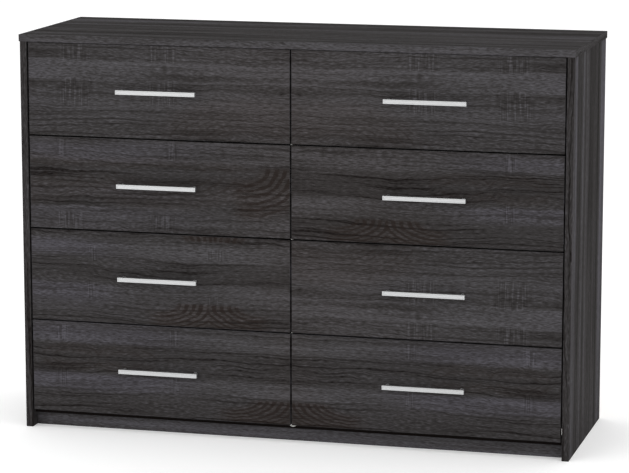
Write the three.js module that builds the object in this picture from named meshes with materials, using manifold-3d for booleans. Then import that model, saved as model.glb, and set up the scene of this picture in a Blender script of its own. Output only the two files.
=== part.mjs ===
// Chest of eight drawers in two columns: a board carcass on two full-height sides, a set-back
// plinth, inset drawer fronts with bar handles, and drawer boxes on single-extension roller runners.
// Millimetres. +X right, +Z up, drawers pull out towards -Y. The origin is on the floor, in the
// middle of the footprint, handles included.

import * as THREE from 'three';
import { mergeVertices } from 'three/addons/utils/BufferGeometryUtils.js';
import Module from 'manifold-3d';

// Carcass
const WIDTH_OVER_SIDES = 1200;
const OVERALL_HEIGHT = 860.5;
const CARCASS_DEPTH = 395;
const CARCASS_BOARD = 15;
const TOP_BOARD = 15;
const TOP_OVERHANG = 2.5;
const BACK_SHEET = 3;
const BACK_REBATE_WIDTH = 8;
const BACK_CLEARANCE = 0.5;
const PLINTH_HEIGHT = 32.5;
const PLINTH_SETBACK = 30;
const BUFFER_RADIUS = 10.5;
const BUFFER_HOLE_RADIUS = 4.5;
const BUFFER_THICKNESS = 0.75;
const BUFFER_RISE = 0.5;

// Drawer fronts
const ROWS = 4;
const FRONT_BOARD = 15;
const FRONT_GAP = 3;
const FRONT_GAP_AT_TOP = 1;
const FRONT_GAP_BEHIND = 1;
const FRONT_SETBACK = 2;
const FRONT_LAP_ON_BOTTOM = 8;

// Drawer boxes
const BOX_BOARD = 12;
const BOX_HEIGHT = 150;
const BOX_CLEARANCE_AT_BACK = 25;
const BOTTOM_SHEET = 3;
const GROOVE_RISE = 10;
const GROOVE_DEPTH = 6;
const GROOVE_PLAY = 0.5;
const GROOVE_HEADROOM = 0.2;

// Handles
const HANDLE_POST_CENTRES = 160;
const HANDLE_END = 8;
const HANDLE_HEIGHT = 9;
const HANDLE_BAR_DEPTH = 7;
const HANDLE_PROJECTION = 22;
const HANDLE_POST_WIDTH = 9;

// Runners: a channel on the carcass with a roller at its front end
const RUNNER_SPACE = 12.5;
const RUNNER_STEEL = 1.2;
const RUNNER_FLANGE = 6;
const RUNNER_GAP = 0.3;
const ROLLER_RADIUS = 8;
const ROLLER_PLAY = 0.2;
const ROLLER_SIDE_PLAY = 0.5;
const ROLLER_INSET = 10;
const ROLLER_ABOVE_BOX_EDGE = 7;
const AXLE_RADIUS = 2.5;
const ROUND_SEGMENTS = 32;

// Worked out from the sizes above
const sideHeight = OVERALL_HEIGHT - TOP_BOARD;
const carcassFront = (HANDLE_PROJECTION - FRONT_SETBACK - CARCASS_DEPTH) / 2;
const carcassBack = carcassFront + CARCASS_DEPTH;
const boardBack = carcassBack - BACK_SHEET;
const sideOuter = WIDTH_OVER_SIDES / 2;
const sideInner = sideOuter - CARCASS_BOARD;
const partitionHalf = CARCASS_BOARD / 2;
const plinthFront = carcassFront + PLINTH_SETBACK;
const bottomTop = PLINTH_HEIGHT + CARCASS_BOARD;

const frontFace = carcassFront + FRONT_SETBACK;
const frontRear = frontFace + FRONT_BOARD;
const boardFront = frontRear + FRONT_GAP_BEHIND;
const frontsLow = bottomTop - FRONT_LAP_ON_BOTTOM;
const frontsHigh = sideHeight - FRONT_GAP_AT_TOP;
const frontHeight = (frontsHigh - frontsLow - (ROWS - 1) * FRONT_GAP) / ROWS;
const frontInner = FRONT_GAP / 2;
const frontOuter = sideInner - FRONT_GAP;

const channelHalf = ROLLER_RADIUS + ROLLER_PLAY + RUNNER_STEEL;
const channelRise = FRONT_LAP_ON_BOTTOM + RUNNER_GAP + channelHalf;
const boxRise = channelRise - ROLLER_ABOVE_BOX_EDGE;
const boxInner = partitionHalf + RUNNER_SPACE;
const boxOuter = sideInner - RUNNER_SPACE;
const boxBack = boardBack - BOX_CLEARANCE_AT_BACK;
const sheetInset = BOX_BOARD - GROOVE_DEPTH + GROOVE_PLAY;
const grooveHeight = BOTTOM_SHEET + GROOVE_HEADROOM;

const wasm = await Module();
wasm.setup();

const finishes = {
  oak: { color: 0x403e3e, roughness: 0.55, metalness: 0 },
  boxBoard: { color: 0x8f8f8c, roughness: 0.7, metalness: 0 },
  sheet: { color: 0xb9b6ae, roughness: 0.8, metalness: 0 },
  handle: { color: 0xd2d2d2, roughness: 0.35, metalness: 0.6 },
  runner: { color: 0xe6e6e2, roughness: 0.5, metalness: 0.2 },
  nylon: { color: 0xdedcd5, roughness: 0.45, metalness: 0 },
};

function part(name, geometry, finish) {
  const mesh = new THREE.Mesh(geometry, new THREE.MeshStandardMaterial(finish));
  mesh.name = name;
  return mesh;
}

// A rectangular piece between two opposite corners, given in either order.
function block(xs, ys, zs) {
  const spans = [xs, ys, zs].map(([a, b]) => Math.abs(b - a));
  const middle = [xs, ys, zs].map(([a, b]) => (a + b) / 2);
  return new THREE.BoxGeometry(...spans).translate(...middle);
}

function toSolid(geometry) {
  const bare = geometry.clone();
  bare.deleteAttribute('normal');
  bare.deleteAttribute('uv');
  const merged = mergeVertices(bare);
  return new wasm.Manifold(new wasm.Mesh({
    numProp: 3,
    vertProperties: new Float32Array(merged.attributes.position.array),
    triVerts: new Uint32Array(merged.index.array),
  }));
}

function toGeometry(solid) {
  const mesh = solid.getMesh();
  const geometry = new THREE.BufferGeometry();
  geometry.setAttribute('position', new THREE.BufferAttribute(mesh.vertProperties, 3));
  geometry.setIndex(new THREE.BufferAttribute(mesh.triVerts, 1));
  geometry.computeVertexNormals();
  return geometry;
}

function join(...geometries) {
  return toGeometry(geometries.map(toSolid).reduce((whole, piece) => whole.add(piece)));
}

function cut(geometry, ...tools) {
  return toGeometry(tools.map(toSolid).reduce((rest, tool) => rest.subtract(tool), toSolid(geometry)));
}

// A side stands on the floor. A rebate down its inner rear edge takes the back sheet.
function sidePanel(side) {
  const panel = block([side * sideInner, side * sideOuter], [carcassFront, carcassBack], [0, sideHeight]);
  const rebate = block(
    [side * (sideInner - 1), side * (sideInner + BACK_REBATE_WIDTH)],
    [boardBack, carcassBack + 1],
    [-1, sideHeight + 1],
  );
  return cut(panel, rebate);
}

// Each half of the back runs from the rebate in its side to the middle of the partition's rear edge.
function backPanel(side) {
  const outer = sideInner + BACK_REBATE_WIDTH - BACK_CLEARANCE;
  return block(
    [side * BACK_CLEARANCE, side * outer],
    [boardBack, carcassBack],
    [PLINTH_HEIGHT, sideHeight],
  );
}

// A thin nylon ring on the front edge of the bottom board, in the middle, on which the two lowest
// fronts close.
function bufferRing() {
  const section = [
    new THREE.Vector2(BUFFER_HOLE_RADIUS, 0),
    new THREE.Vector2(BUFFER_RADIUS, 0),
    new THREE.Vector2(BUFFER_RADIUS, BUFFER_THICKNESS),
    new THREE.Vector2(BUFFER_HOLE_RADIUS, BUFFER_THICKNESS),
    new THREE.Vector2(BUFFER_HOLE_RADIUS, 0),
  ];
  const ring = new THREE.LatheGeometry(section, ROUND_SEGMENTS);
  return ring.translate(0, boardFront - BUFFER_THICKNESS, PLINTH_HEIGHT + BUFFER_RISE + BUFFER_RADIUS);
}

function carcass() {
  const top = sideOuter + TOP_OVERHANG;
  const across = [-sideInner, sideInner];
  const boards = [boardFront, boardBack];
  const group = new THREE.Group();
  group.add(
    part('top_panel', block([-top, top], [carcassFront, carcassBack], [sideHeight, OVERALL_HEIGHT]),
      finishes.oak),
    part('left_side_panel', sidePanel(-1), finishes.oak),
    part('right_side_panel', sidePanel(1), finishes.oak),
    part('bottom_panel', block(across, boards, [PLINTH_HEIGHT, bottomTop]), finishes.oak),
    part('centre_partition', block([-partitionHalf, partitionHalf], boards, [bottomTop, sideHeight]),
      finishes.oak),
    part('front_plinth', block(across, [plinthFront, plinthFront + CARCASS_BOARD], [0, PLINTH_HEIGHT]),
      finishes.oak),
    part('rear_plinth', block(across, [boardBack - CARCASS_BOARD, boardBack], [0, PLINTH_HEIGHT]),
      finishes.oak),
    part('left_back_panel', backPanel(-1), finishes.sheet),
    part('right_back_panel', backPanel(1), finishes.sheet),
    part('bottom_buffer', bufferRing(), finishes.nylon),
  );
  return group;
}

// The channel is screwed to a wall of the drawer bay and opens towards the drawer. Its front roller
// turns on an axle from the channel's web and carries the drawer's own rail.
function fixedRunner(wall, inward, middle) {
  const outline = new THREE.Shape([
    new THREE.Vector2(0, -channelHalf),
    new THREE.Vector2(RUNNER_FLANGE, -channelHalf),
    new THREE.Vector2(RUNNER_FLANGE, RUNNER_STEEL - channelHalf),
    new THREE.Vector2(RUNNER_STEEL, RUNNER_STEEL - channelHalf),
    new THREE.Vector2(RUNNER_STEEL, channelHalf - RUNNER_STEEL),
    new THREE.Vector2(RUNNER_FLANGE, channelHalf - RUNNER_STEEL),
    new THREE.Vector2(RUNNER_FLANGE, channelHalf),
    new THREE.Vector2(0, channelHalf),
  ]);
  const length = boxBack - boardFront;
  const channel = new THREE.ExtrudeGeometry(outline, { depth: length, bevelEnabled: false });
  channel.rotateX(Math.PI / 2).translate(0, length, 0);

  const rollerStart = RUNNER_FLANGE + ROLLER_SIDE_PLAY;
  const rollerEnd = RUNNER_SPACE - RUNNER_STEEL - ROLLER_SIDE_PLAY;
  const disc = (radius, from, to) => new THREE.CylinderGeometry(radius, radius, to - from, ROUND_SEGMENTS)
    .rotateZ(Math.PI / 2)
    .translate((from + to) / 2, ROLLER_INSET, 0);
  const roller = disc(ROLLER_RADIUS, rollerStart, rollerEnd);
  const axle = disc(AXLE_RADIUS, RUNNER_STEEL / 2, (rollerStart + rollerEnd) / 2);

  const runner = join(channel, roller, axle);
  if (inward < 0) runner.rotateZ(Math.PI).translate(0, length, 0);
  return runner.translate(wall, boardFront, middle);
}

// The front has a groove in its rear face for the drawer's bottom sheet.
function drawerFront(side, low) {
  const board = block(
    [side * frontInner, side * frontOuter],
    [frontFace, frontRear],
    [low, low + frontHeight],
  );
  const grooveLow = low + boxRise + GROOVE_RISE;
  const edge = BOX_BOARD - GROOVE_DEPTH;
  const groove = block(
    [side * (boxInner + edge), side * (boxOuter - edge)],
    [frontRear - GROOVE_DEPTH, frontRear + 1],
    [grooveLow, grooveLow + grooveHeight],
  );
  return cut(board, groove);
}

// Two grooved sides and a back between them, glued and dowelled into one frame. The back stops at
// the top of the groove, so that the bottom sheet slides in under it.
function drawerBox(side, low) {
  const boxLow = low + boxRise;
  const boxHigh = boxLow + BOX_HEIGHT;
  const grooveLow = boxLow + GROOVE_RISE;
  const grooveHigh = grooveLow + grooveHeight;
  const along = [frontRear, boxBack];
  const innerFaces = [boxInner + BOX_BOARD, boxOuter - BOX_BOARD];
  const sides = [
    block([side * boxInner, side * innerFaces[0]], along, [boxLow, boxHigh]),
    block([side * innerFaces[1], side * boxOuter], along, [boxLow, boxHigh]),
  ];
  const back = block(
    [side * (innerFaces[0] - 1), side * (innerFaces[1] + 1)],
    [boxBack - BOX_BOARD, boxBack],
    [grooveHigh, boxHigh],
  );
  const groove = block(
    [side * (innerFaces[0] - GROOVE_DEPTH), side * (innerFaces[1] + GROOVE_DEPTH)],
    [frontRear - 1, boxBack + 1],
    [grooveLow, grooveHigh],
  );
  return cut(join(...sides, back), groove);
}

function drawerBottom(side, low) {
  const sheetLow = low + boxRise + GROOVE_RISE;
  return block(
    [side * (boxInner + sheetInset), side * (boxOuter - sheetInset)],
    [frontRear - GROOVE_DEPTH + GROOVE_PLAY, boxBack],
    [sheetLow, sheetLow + BOTTOM_SHEET],
  );
}

// A flat bar carried off the front on two posts, drawn in plan and extruded to its height.
function handle(side, low) {
  const end = HANDLE_POST_CENTRES / 2 + HANDLE_END;
  const postOut = (HANDLE_POST_CENTRES + HANDLE_POST_WIDTH) / 2;
  const postIn = (HANDLE_POST_CENTRES - HANDLE_POST_WIDTH) / 2;
  const outer = -HANDLE_PROJECTION;
  const barRear = outer + HANDLE_BAR_DEPTH;
  const outline = new THREE.Shape([
    new THREE.Vector2(-end, outer),
    new THREE.Vector2(end, outer),
    new THREE.Vector2(end, barRear),
    new THREE.Vector2(postOut, barRear),
    new THREE.Vector2(postOut, 0),
    new THREE.Vector2(postIn, 0),
    new THREE.Vector2(postIn, barRear),
    new THREE.Vector2(-postIn, barRear),
    new THREE.Vector2(-postIn, 0),
    new THREE.Vector2(-postOut, 0),
    new THREE.Vector2(-postOut, barRear),
    new THREE.Vector2(-end, barRear),
  ]);
  return new THREE.ExtrudeGeometry(outline, { depth: HANDLE_HEIGHT, bevelEnabled: false }).translate(
    side * (frontInner + frontOuter) / 2,
    frontFace,
    low + (frontHeight - HANDLE_HEIGHT) / 2,
  );
}

// Drawers are numbered from the top row down.
function drawer(side, row) {
  const sideName = side < 0 ? 'left' : 'right';
  const tag = `${sideName}_${row}`;
  const low = frontsHigh - row * frontHeight - (row - 1) * FRONT_GAP;
  const middle = low + channelRise;
  const group = new THREE.Group();
  group.add(
    part(`drawer_front_${tag}`, drawerFront(side, low), finishes.oak),
    part(`drawer_box_${tag}`, drawerBox(side, low), finishes.boxBoard),
    part(`drawer_bottom_${tag}`, drawerBottom(side, low), finishes.sheet),
    part(`handle_${tag}`, handle(side, low), finishes.handle),
    part(`outer_runner_${tag}`, fixedRunner(side * sideInner, -side, middle), finishes.runner),
    part(`inner_runner_${tag}`, fixedRunner(side * partitionHalf, side, middle), finishes.runner),
  );
  return group;
}

const dresser = new THREE.Group();
dresser.add(carcass());
for (const side of [-1, 1]) {
  for (let row = 1; row <= ROWS; row += 1) dresser.add(drawer(side, row));
}

export default dresser;
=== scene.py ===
import math

import bpy
from mathutils import Matrix, Vector


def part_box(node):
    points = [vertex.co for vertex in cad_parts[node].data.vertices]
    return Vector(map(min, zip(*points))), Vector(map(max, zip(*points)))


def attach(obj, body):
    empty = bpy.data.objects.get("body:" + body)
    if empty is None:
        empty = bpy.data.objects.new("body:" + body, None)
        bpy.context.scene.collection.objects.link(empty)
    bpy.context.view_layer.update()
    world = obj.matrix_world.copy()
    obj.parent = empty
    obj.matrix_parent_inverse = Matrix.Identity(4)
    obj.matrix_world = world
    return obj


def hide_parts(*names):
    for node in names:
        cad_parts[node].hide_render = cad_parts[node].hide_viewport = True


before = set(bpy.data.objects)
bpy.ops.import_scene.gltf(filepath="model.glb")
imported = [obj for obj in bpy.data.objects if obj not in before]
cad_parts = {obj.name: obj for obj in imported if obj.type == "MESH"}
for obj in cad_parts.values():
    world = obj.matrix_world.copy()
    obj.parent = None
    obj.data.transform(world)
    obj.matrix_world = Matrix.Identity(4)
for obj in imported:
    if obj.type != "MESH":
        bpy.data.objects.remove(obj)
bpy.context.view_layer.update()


# ---------------------------------------------------------------------------------------------
# Camera. A long lens, a little to the right of the dresser and above it, aimed at the middle of
# the drawer fronts.
LENS_MM = 162.9
VIEW_AZIMUTH = math.radians(14.95)
VIEW_ELEVATION = math.radians(10.07)
VIEW_DISTANCE = 5.988
AIM_RIGHT = 0.0525
AIM_HEIGHT = 0.4516

aim = Vector((AIM_RIGHT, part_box("right_side_panel")[0].y, AIM_HEIGHT))
away = Vector((
    math.sin(VIEW_AZIMUTH) * math.cos(VIEW_ELEVATION),
    -math.cos(VIEW_AZIMUTH) * math.cos(VIEW_ELEVATION),
    math.sin(VIEW_ELEVATION),
))
bpy.ops.object.camera_add(location=aim + away * VIEW_DISTANCE)
camera = bpy.context.object
camera.rotation_mode = "QUATERNION"
camera.rotation_quaternion = (-away).to_track_quat("-Z", "Y")
camera.data.lens = LENS_MM
camera.data.sensor_width = 36
camera.data.clip_end = 100
bpy.context.scene.camera = camera


# ---------------------------------------------------------------------------------------------
# Studio. A white room with even light, a large softbox in front on the left, a weaker one on the
# right and one overhead, and a plain pale floor lit a little from below.
FLOOR_SIZE = 30
SOFTBOXES = (
    # name, place, size, watts
    ("front_softbox", (-2.6, -4.6, 2.6), 3.2, 60),
    ("side_softbox", (4.5, -2.0, 2.2), 2.6, 8),
    ("top_softbox", (0.3, 0.6, 3.6), 3.0, 12),
)


def input_of(tree, socket, value):
    """Sets a socket to a value, or links it when the value is another node's socket."""
    if isinstance(value, bpy.types.NodeSocket):
        tree.links.new(value, socket)
    else:
        socket.default_value = value


def shader_of(name):
    """A new material with its node tree and its Principled shader."""
    material = bpy.data.materials.new(name)
    material.use_nodes = True
    return material, material.node_tree, material.node_tree.nodes["Principled BSDF"]


bpy.context.scene.view_settings.view_transform = "Standard"
world = bpy.data.worlds.new("white_room")
world.use_nodes = True
bpy.context.scene.world = world
room = world.node_tree
seen = room.nodes.new("ShaderNodeLightPath").outputs["Is Camera Ray"]
lit = room.nodes["Background"]
lit.inputs["Color"].default_value = (1.0, 1.0, 1.0, 1)
lit.inputs["Strength"].default_value = 0.93
backdrop = room.nodes.new("ShaderNodeBackground")
backdrop.inputs["Strength"].default_value = 1.1
backdrop.inputs["Color"].default_value = (1, 1, 1, 1)
pick = room.nodes.new("ShaderNodeMixShader")
room.links.new(seen, pick.inputs["Fac"])
room.links.new(lit.outputs["Background"], pick.inputs[1])
room.links.new(backdrop.outputs["Background"], pick.inputs[2])
room.links.new(pick.outputs["Shader"], room.nodes["World Output"].inputs["Surface"])

for name, place, size, watts in SOFTBOXES:
    bpy.ops.object.light_add(type="AREA", location=place)
    softbox = bpy.context.object
    softbox.name = name
    softbox.data.size = size
    softbox.data.energy = watts
    softbox.rotation_mode = "QUATERNION"
    softbox.rotation_quaternion = (Vector(place) - Vector((0, 0, 0.45))).to_track_quat("Z", "Y")

floor_material, tree, shader = shader_of("pale_floor")
cloud = tree.nodes.new("ShaderNodeTexNoise")
cloud.inputs["Scale"].default_value = 1.5
paint = tree.nodes.new("ShaderNodeValToRGB")
paint.color_ramp.elements[0].color = (0.92, 0.92, 0.92, 1)
paint.color_ramp.elements[1].color = (0.95, 0.95, 0.95, 1)
tree.links.new(tree.nodes.new("ShaderNodeTexCoord").outputs["Object"], cloud.inputs["Vector"])
tree.links.new(cloud.outputs["Fac"], paint.inputs["Fac"])
tree.links.new(paint.outputs["Color"], shader.inputs["Base Color"])
tree.links.new(paint.outputs["Color"], shader.inputs["Emission Color"])
shader.inputs["Emission Strength"].default_value = 0.24
shader.inputs["Roughness"].default_value = 0.9
shader.inputs["Specular IOR Level"].default_value = 0.1

bpy.ops.mesh.primitive_plane_add(size=FLOOR_SIZE)
floor = bpy.context.object
floor.name = "floor"
floor.data.materials.append(floor_material)


# ---------------------------------------------------------------------------------------------
# Side panels. Each is a 15 mm chipboard faced with printed smoked oak, its grain upright, with an
# ironed-on edging strip down the front. The bare rear edge is rebated for the back sheet, and four
# cam fittings let into the inner face pull the top and bottom boards tight.
SIDES = (("left", -1), ("right", 1))
EDGING = 0.0008
EDGE_EASE = 0.0003
REBATE_WIDTH = 0.008
CAM_RADIUS = 0.0075
CAM_FROM_BOARD_END = 0.034
CAM_FROM_EDGE = 0.050


def select_only(*pieces):
    """Selects these pieces and nothing else, the first one active."""
    bpy.ops.object.select_all(action="DESELECT")
    for piece in pieces:
        piece.select_set(True)
    bpy.context.view_layer.objects.active = pieces[0]


def block(name, low, high):
    """A block between two corners, with its place in its mesh."""
    low, high = Vector(low), Vector(high)
    bpy.ops.object.select_all(action="DESELECT")
    bpy.ops.mesh.primitive_cube_add(size=1, location=(low + high) / 2)
    piece = bpy.context.object
    piece.scale = high - low
    return settled(piece, name)


def round_bar(name, middle, radius, length, direction, sides=32):
    """A round bar about its middle, lying along a direction."""
    bpy.ops.object.select_all(action="DESELECT")
    turn = Vector(direction).to_track_quat("Z", "Y").to_euler()
    bpy.ops.mesh.primitive_cylinder_add(
        vertices=sides, radius=radius, depth=length, location=middle, rotation=turn
    )
    return settled(bpy.context.object, name)


def settled(piece, name):
    """Names the piece and puts its place, turn and scale into its mesh."""
    select_only(piece)
    bpy.ops.object.transform_apply(location=True, rotation=True, scale=True)
    piece.name = name
    piece.data.name = name
    return piece


def work_on_faces(piece, wanted):
    """Goes into edit mode with the faces selected whose middle and normal the test accepts."""
    select_only(piece)
    bpy.ops.object.mode_set(mode="EDIT")
    bpy.ops.mesh.select_mode(type="FACE")
    bpy.ops.mesh.select_all(action="DESELECT")
    bpy.ops.object.mode_set(mode="OBJECT")
    for face in piece.data.polygons:
        face.select = wanted(face.center, face.normal)
    bpy.ops.object.mode_set(mode="EDIT")


def apply_modifier(piece, modifier):
    select_only(piece)
    bpy.ops.object.modifier_apply(modifier=modifier.name)


def cut_away(piece, *tools):
    """Cuts the tools' shapes out of the piece, and takes the tools away."""
    for tool in tools:
        cut = piece.modifiers.new("cut", "BOOLEAN")
        cut.operation = "DIFFERENCE"
        cut.solver = "EXACT"
        cut.object = tool
        apply_modifier(piece, cut)
        bpy.data.objects.remove(tool)


def weld_on(piece, *others):
    """Makes the piece and the others one solid shape."""
    for other in others:
        weld = piece.modifiers.new("weld", "BOOLEAN")
        weld.operation = "UNION"
        weld.solver = "EXACT"
        weld.object = other
        apply_modifier(piece, weld)
        bpy.data.objects.remove(other)


def ease_edges(piece, width, segments=2):
    """Rounds over the piece's sharp edges."""
    bevel = piece.modifiers.new("eased edges", "BEVEL")
    bevel.width = width
    bevel.segments = segments
    bevel.limit_method = "ANGLE"
    bevel.angle_limit = math.radians(35)
    apply_modifier(piece, bevel)


def face_with(piece, material, wanted=None):
    """Gives a material to the whole piece, or to the faces whose middle and normal the test accepts."""
    piece.data.materials.append(material)
    for face in piece.data.polygons:
        if wanted is None or wanted(face.center, face.normal):
            face.material_index = len(piece.data.materials) - 1


def fit(piece, body, slot, *nodes):
    """Fixes a finished piece to its body in place of its plain nodes, which it hides. The slot is not used.
    """
    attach(piece, body)
    if nodes:
        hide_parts(*nodes)


def copy_of(piece, name, change):
    """A copy with its own mesh, moved, turned or mirrored by a matrix."""
    twin = piece.copy()
    twin.data = piece.data.copy()
    twin.name = name
    twin.data.name = name
    bpy.context.collection.objects.link(twin)
    twin.data.transform(change)
    if change.determinant() < 0:
        twin.data.flip_normals()
    return twin


def joined(name, pieces):
    """Several shapes as one piece."""
    select_only(*pieces)
    bpy.ops.object.join()
    whole = bpy.context.object
    whole.name = name
    whole.data.name = name
    return whole


def put_edging(name, low, high, material):
    """Irons an edging strip on between two corners."""
    strip = block(name, low, high)
    ease_edges(strip, EDGE_EASE)
    face_with(strip, material)
    fit(strip, "carcass", "oak_laminate")


# The print. It is laid out in metres along and across the grain: soft bands along the grain, ring
# lines and pores, nested arcs where the saw met a knot, and short saw marks across the grain.
DARK_BROWN = (0.0075, 0.0060, 0.0056, 1)
MID_GREY = (0.036, 0.0335, 0.0335, 1)
PALE_VIOLET = (0.110, 0.106, 0.116, 1)
ARC_BROWN = (0.0180, 0.0132, 0.0114, 1)
ARC_GROUND = (1.00, 0.94, 0.90, 1)
VIOLET_WASH = (0.97, 0.96, 1.03, 1)
OAK_SPECULAR = 0.01


def calculate(tree, operation, first, second=0.0, third=0.0, clamp=False):
    """A Math node, and its result."""
    node = tree.nodes.new("ShaderNodeMath")
    node.operation = operation
    node.use_clamp = clamp
    for socket, value in zip(node.inputs, (first, second, third)):
        input_of(tree, socket, value)
    return node.outputs["Value"]


def smooth_step(tree, value, low, high):
    """0 below low and 1 above high, with an eased rise between."""
    node = tree.nodes.new("ShaderNodeMapRange")
    node.interpolation_type = "SMOOTHSTEP"
    for label, given in (("Value", value), ("From Min", low), ("From Max", high)):
        input_of(tree, node.inputs[label], given)
    return node.outputs["Result"]


def stretched_noise(tree, along, across, per_metre_along, per_metre_across, detail=1.0, layer=0.0):
    """Noise from 0 to 1, drawn out along the grain. A layer number gives another pattern."""
    place = tree.nodes.new("ShaderNodeCombineXYZ")
    input_of(tree, place.inputs["X"], calculate(tree, "MULTIPLY", along, per_metre_along))
    input_of(tree, place.inputs["Y"], calculate(tree, "MULTIPLY", across, per_metre_across))
    place.inputs["Z"].default_value = layer
    noise = tree.nodes.new("ShaderNodeTexNoise")
    noise.inputs["Scale"].default_value = 1
    noise.inputs["Detail"].default_value = detail
    tree.links.new(place.outputs["Vector"], noise.inputs["Vector"])
    return noise.outputs["Fac"]


def node_group(name, inputs, outputs):
    """An empty node group with float inputs and outputs, unless a name ends in Color."""
    group = bpy.data.node_groups.new(name, "ShaderNodeTree")
    for direction, labels in (("INPUT", inputs), ("OUTPUT", outputs)):
        for label in labels:
            kind = "NodeSocketColor" if label.endswith("Color") else "NodeSocketFloat"
            group.interface.new_socket(label, in_out=direction, socket_type=kind)
    given = group.nodes.new("NodeGroupInput").outputs
    return group, given, group.nodes.new("NodeGroupOutput").inputs


def placed(tree, group, **values):
    """A node that uses the group in a material, with its inputs set or linked."""
    node = tree.nodes.new("ShaderNodeGroup")
    node.node_tree = group
    for label, value in values.items():
        input_of(tree, node.inputs[label.replace("_", " ")], value)
    return node.outputs


# The ground of the print: bands, streaks, ring lines and pores, and the arcs and marks put on it.
oak_print, given, result = node_group(
    "oak print",
    ("Along", "Across", "Tone", "Violet", "Arc Ground", "Arc Lines", "Marks"),
    ("Color", "Roughness", "Height"),
)
tree = oak_print
along, across = given["Along"], given["Across"]
sway = calculate(tree, "SUBTRACT", stretched_noise(tree, along, across, 2.2, 9, 1), 0.5)
waver = calculate(tree, "SUBTRACT", stretched_noise(tree, along, across, 17, 50, 1.5, 3), 0.5)
bent = calculate(tree, "MULTIPLY_ADD", sway, 0.050, across)
bent = calculate(tree, "MULTIPLY_ADD", waver, 0.011, bent)

streaks = stretched_noise(tree, along, bent, 2.2, 70, 2, 7)
rings = stretched_noise(tree, along, bent, 3.0, 190, 1.5, 11)
ring_lines = calculate(tree, "MULTIPLY", smooth_step(tree, rings, 0.46, 0.38),
                       smooth_step(tree, given["Tone"], 0.66, 0.44))
arc_breaks = stretched_noise(tree, along, across, 90, 300, 2, 5)
arc_lines = calculate(tree, "MULTIPLY", given["Arc Lines"], smooth_step(tree, arc_breaks, 0.22, 0.50))
flecks = stretched_noise(tree, along, bent, 50, 250, 2, 15)
short_grain = stretched_noise(tree, along, bent, 85, 600, 1.5, 13)
pores = stretched_noise(tree, along, bent, 90, 1100, 1, 17)
pore_lines = smooth_step(tree, pores, 0.42, 0.30)
patches = stretched_noise(tree, along, across, 5, 22, 1, 19)

level = given["Tone"]
for noise, weight in ((streaks, 0.24), (rings, 0.26), (flecks, 0.26), (short_grain, 0.70),
                      (patches, 0.16)):
    level = calculate(tree, "MULTIPLY_ADD", calculate(tree, "SUBTRACT", noise, 0.5), weight, level)
level = calculate(tree, "MULTIPLY_ADD", ring_lines, -0.20, level)
level = calculate(tree, "MULTIPLY_ADD", pore_lines, -0.10, level)
level = calculate(tree, "MULTIPLY_ADD", given["Marks"], 0.19, level)
shades = tree.nodes.new("ShaderNodeValToRGB")
shades.color_ramp.elements[0].position = 0.10
shades.color_ramp.elements[0].color = DARK_BROWN
shades.color_ramp.elements[1].position = 0.95
shades.color_ramp.elements[1].color = PALE_VIOLET
shades.color_ramp.elements.new(0.50).color = MID_GREY
tree.links.new(level, shades.inputs["Fac"])


def mixed(tree, blend, share, first, second):
    """A colour mix, and its result."""
    node = tree.nodes.new("ShaderNodeMix")
    node.data_type = "RGBA"
    node.blend_type = blend
    for socket, value in ((node.inputs[0], share), (node.inputs[6], first), (node.inputs[7], second)):
        input_of(tree, socket, value)
    return node.outputs[2]


violet = mixed(tree, "MULTIPLY", given["Violet"], shades.outputs["Color"], VIOLET_WASH)
ground = mixed(tree, "MULTIPLY", given["Arc Ground"], violet, ARC_GROUND)
tree.links.new(mixed(tree, "MIX", arc_lines, ground, ARC_BROWN), result["Color"])
tree.links.new(calculate(tree, "MULTIPLY_ADD", short_grain, 0.16, 0.60), result["Roughness"])
relief = calculate(tree, "MULTIPLY_ADD", pore_lines, -0.6, calculate(tree, "MULTIPLY", short_grain, 0.4))
tree.links.new(relief, result["Height"])


def distance_along(tree, direction, start):
    """How far a point lies along a direction in the board, in metres, counted from start."""
    dot = tree.nodes.new("ShaderNodeVectorMath")
    dot.operation = "DOT_PRODUCT"
    tree.links.new(tree.nodes.new("ShaderNodeTexCoord").outputs["Object"], dot.inputs[0])
    dot.inputs[1].default_value = direction
    return calculate(tree, "ADD", dot.outputs["Value"], start)


def oak_board(name, grain, cross, start=(0.0, 0.0), tone=0.5, bands=0.7, pattern=None):
    """Printed oak for one board. Grain and cross are the print's directions in the board, and start
    is the print's place there. Tone is the mean shade, from 0 to 1, and bands how much it varies
    across the grain, unless a pattern is given: the bands, saw marks and arcs of a chosen sheet."""
    material, tree, shader = shader_of(name)
    along = distance_along(tree, grain, start[0])
    across = distance_along(tree, cross, start[1])
    drawn = {"Along": along, "Across": across}
    if pattern:
        drawn.update(pattern(tree, along, across))
    else:
        broad = calculate(tree, "SUBTRACT", stretched_noise(tree, along, across, 0.5, 24, 3, 37), 0.5)
        drawn["Tone"] = calculate(tree, "MULTIPLY_ADD", broad, bands, tone)
        drawn["Violet"] = smooth_step(tree, drawn["Tone"], tone, tone + 0.25)
    printed = placed(tree, oak_print, **drawn)
    tree.links.new(printed["Color"], shader.inputs["Base Color"])
    tree.links.new(printed["Roughness"], shader.inputs["Roughness"])
    bump = tree.nodes.new("ShaderNodeBump")
    bump.inputs["Strength"].default_value = 0.25
    bump.inputs["Distance"].default_value = 0.0003
    tree.links.new(printed["Height"], bump.inputs["Height"])
    tree.links.new(bump.outputs["Normal"], shader.inputs["Normal"])
    shader.inputs["Specular IOR Level"].default_value = OAK_SPECULAR
    return material


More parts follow.
